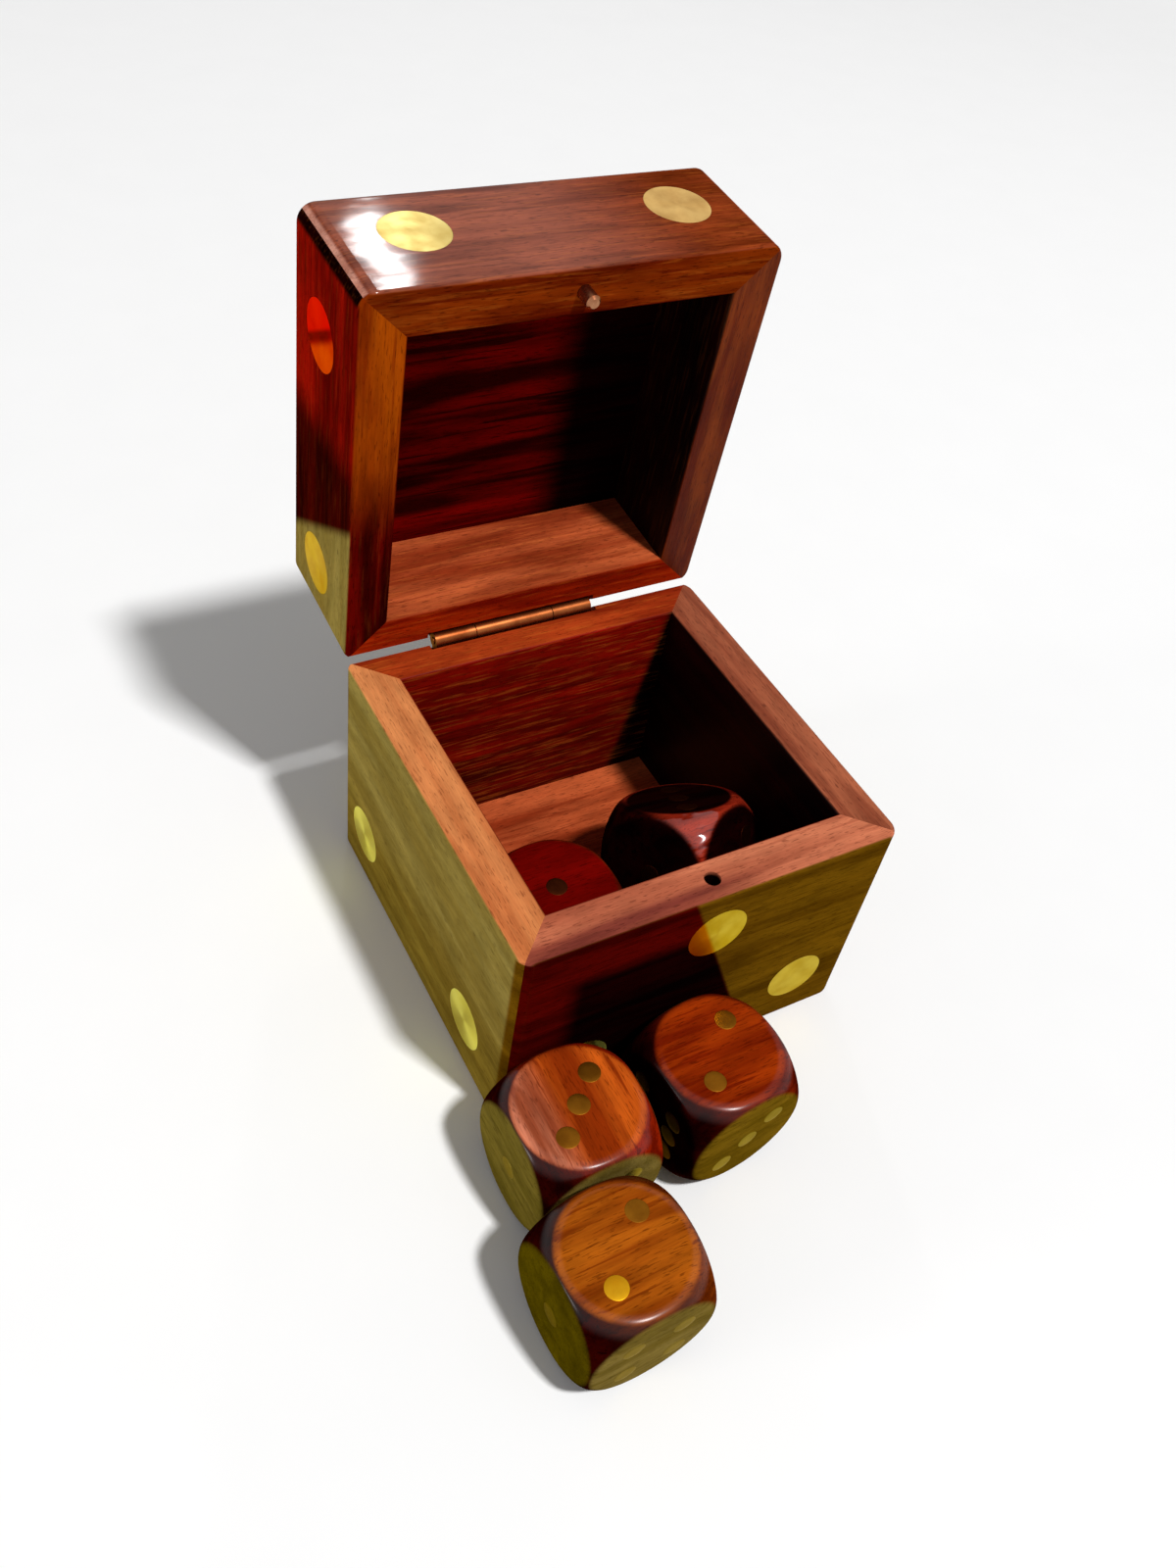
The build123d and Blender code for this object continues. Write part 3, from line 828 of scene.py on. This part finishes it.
# The coat of a die: its weight, its gloss, and its waves
calm = 0.07, 0.16, 0.06
coat_looks = {
    1: (0.4, 0.24, calm), 2: (0.4, 0.24, calm), 3: (0.4, 0.24, calm), 4: (0.0, 0.24, calm),
    5: (1.0, 0.15, (0.12, 0.3, 0.6)),
}
bright_pin = [(-BACK, 61.0, 62.0), (UP, 17.0, 17.5)]
upper_right = Vector((0.5, 0, 0.866))


def circle_skin(out, level):
    """Just under the flat of a circle that faces out at that level."""
    return (out, level - 0.55, level - 0.15)


def die_finish(count, axes, middle):
    """The zones of a die's wood and of its pins, and the planes that bound its coat."""
    _, top_tones, upper_tones, left_tones, side_tones = die_looks[count]
    left_pin, side_pin = pin_looks[count]
    height = float(np.dot(middle, upper_right))
    # The ball is painted lighter towards the upper right as painted light; elsewhere it keeps the
    # painted shade of its base tone.
    zones = [([(upper_right, height + 3.0, height + 8.5)], upper_tones)]
    pin_zones, off_the_circles = [], []
    for row in axes:
        for sign in (1, -1):
            out = Vector(row) * sign
            level = float(np.dot(middle, out)) + die_edge / 2
            on_top = out.z > 0.8
            tones, pin_tones = side_tones, side_pin
            if on_top:
                tones, pin_tones = top_tones, dull if count < 4 else dark_brass
            elif out.x < -0.8:
                tones, pin_tones = left_tones, left_pin
            zones.append(([circle_skin(out, level)], tones))
            starts, full = (0.07, 0.14) if on_top else (0.2, 0.7)
            off_the_circles.append((-out, starts - level, full - level))
            pin_zones.append(([(out, level - 1.3, level - 1.2)], pin_tones))
    polished = [(UP, middle[2] + 7.4, middle[2] + 8.6), *off_the_circles]
    if count == 1:
        pin_zones.append((bright_pin, gold))
    if count == 2:
        # The painted sheen on the left part of the upper circle.
        left_part = (-RIGHT, 1.5 - middle[0], 6.5 - middle[0])
        zones.append(([circle_skin(UP, middle[2] + die_edge / 2), left_part], sheen_tones))
    if count == 5:
        # The tumbled die's ball part takes the painted light and sheen.
        polished = [(RIGHT, middle[0] - 7.5, middle[0] - 4.0), *off_the_circles]
        zones.append((polished, lit_sheen_tones))
    return zones, pin_zones, polished


print("looks of", len(die_looks), "dice")

# %% [markdown]
# ## Making the dice
#
# The surface and the pins were made once, round the origin. Each die is a turned and moved
# copy of the same arrays, written straight into its mesh, so its object stays at the origin
# and the solid texture lies still in it. Body and pins ride on their own body of the frame
# and take the place of the frame's rougher pieces.

# %% Five dice
for count, (one, three) in poses.items():
    first = one.normalized()
    third = (three - first * three.dot(first)).normalized()
    axes = np.array([first, third.cross(first), third])
    middle = np.array(middle_of(f"die_{count}")) / MM
    body = finish_mesh(f"die_{count}_ball_cut", die_shape @ axes + middle, die_quads)
    pins = finish_mesh(f"die_{count}_round_pins", all_pins @ axes + middle, all_pin_quads)
    grain = die_looks[count][0]
    zones, pin_zones, polished = die_finish(count, axes, middle)
    coat, coat_gloss, coat_waves = coat_looks[count]
    body.data.materials.append(rosewood(
        f"rosewood_die_{count}", grain, BACK if grain == RIGHT else RIGHT, 31.0 + 3 * count,
        ball_shade_tones, zones, lines=0.9, coat=coat, coat_gloss=coat_gloss, coat_planes=polished,
        coat_waves=coat_waves,
    ))
    pins.data.materials.append(brass(f"brass_die_{count}", dull, 0.42, zones=pin_zones))
    for piece, role in ((body, f"die_{count}"), (pins, f"die_{count}_pips")):
        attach(piece, f"die_{count}")
        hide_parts(role)
    print("die", count, "at", middle.round(1), "mm")

# %% [markdown]
# ## The floor
#
# A plain pale card takes the shadow. Its far edge would draw a grey line across a low view,
# so the card turns clear before it ends and gives way to the white surround.

# %% Floor
def pale_floor():
    """A sheet of pale card that fades into the white surround before its edge."""
    size = 3.0
    corners = np.array([(-1, -1, 0), (1, -1, 0), (1, 1, 0), (-1, 1, 0)], float) * size / MM
    floor = finish_mesh("floor", corners, np.array([[0, 1, 2, 3]]))
    card, tree, shader = start_material("pale_card")
    place = node(tree, "TexCoord").outputs["Object"]
    mottle = node(tree, "TexNoise", {"Vector": place, "Scale": 60.0, "Detail": 3.0}).outputs[0]
    white = blend(tree, mottle, rgb(250, 250, 250), rgb(253, 253, 253))
    tree.links.new(white, shader.inputs["Base Color"])
    away = node(tree, "VectorMath", {0: place}, operation="LENGTH").outputs["Value"]
    tree.links.new(fade(tree, away, 1.0, 0.55), shader.inputs["Alpha"])
    shader.inputs["Roughness"].default_value = 0.9
    shader.inputs["Specular IOR Level"].default_value = 0.1
    floor.data.materials.append(card)


pale_floor()
print("floor ready")

# %% [markdown]
# ## Lamps
#
# The main lamp stands high in front, a little to the right, and far enough away to light the
# whole floor alike. A low one on the left fills that side, and a narrow one behind draws the
# bright band on the polished lid. Their strengths add up to about one on level ground, so a
# colour comes out as it was written.

# %% Lamps
def lamp(name, place, target, width, height, power, long_way=UP):
    """A soft rectangular lamp aimed at a point, its height as near long_way as can be."""
    data = bpy.data.lights.new(name, "AREA")
    data.shape = "RECTANGLE"
    data.size, data.size_y = width, height
    data.energy = power
    made = bpy.data.objects.new(name, data)
    made.location = place
    back = (Vector(place) - Vector(target)).normalized()
    across = Vector(long_way).cross(back).normalized()
    made.rotation_euler = Matrix((across, back.cross(across), back)).transposed().to_euler()
    bpy.context.scene.collection.objects.link(made)


lamp("key", (0.41, -1.03, 2.24), (0, 0, 0.04), width=0.20, height=0.20, power=52.0)
lamp("left_fill", (-1.0, 0.05, 0.12), (0, 0.02, 0.05), width=0.30, height=0.20, power=3.5)
lamp("band", (0.203, 0.524, 0.462), (-0.0245, 0.0345, 0.0989), width=0.017, height=0.046,
     power=0.15, long_way=(-0.4, 0.648, -0.645))
print("lamps", sorted(lamp_object.name for lamp_object in bpy.data.lights))

# %% [markdown]
# ## The surround
#
# It is white to the eye and in reflections, and dim for everything else, so that the inside
# of the box stays dark. The light path tells the two apart.

# %% Surround
def surround():
    """White for what is seen or reflected, dim for what lights the object."""
    world = bpy.data.worlds.new("surround")
    world.use_nodes = True
    tree = world.node_tree
    rays = node(tree, "LightPath").outputs
    shown = number(tree, "MAXIMUM", rays["Is Camera Ray"], rays["Is Glossy Ray"])
    shown = number(tree, "MAXIMUM", shown, rays["Is Transmission Ray"])
    level = node(tree, "MapRange", {"Value": shown, "To Min": 0.22, "To Max": 1.0})
    background = tree.nodes["Background"]
    background.inputs["Color"].default_value = (1, 1, 1, 1)
    tree.links.new(level.outputs["Result"], background.inputs["Strength"])
    bpy.context.scene.world = world


surround()
print("surround ready")

# %% [markdown]
# ## Camera
#
# The camera looks down into the open box from the front left, close enough to show all of
# it with the three dice. Its turn is written as three angles, in degrees.

# %% Camera
camera_data = bpy.data.cameras.new("camera")
camera_data.sensor_fit = "VERTICAL"
camera_data.sensor_height = 36.0
camera_data.lens = 30.6194
camera = bpy.data.objects.new("camera", camera_data)
camera.location = (-0.08408, -0.110032, 0.172485)
camera.rotation_euler = [math.radians(angle) for angle in (43.534, -7.577, -28.267)]
bpy.context.scene.collection.objects.link(camera)
bpy.context.scene.camera = camera
bpy.context.scene.view_settings.view_transform = "Standard"
print("camera at", tuple(camera.location))
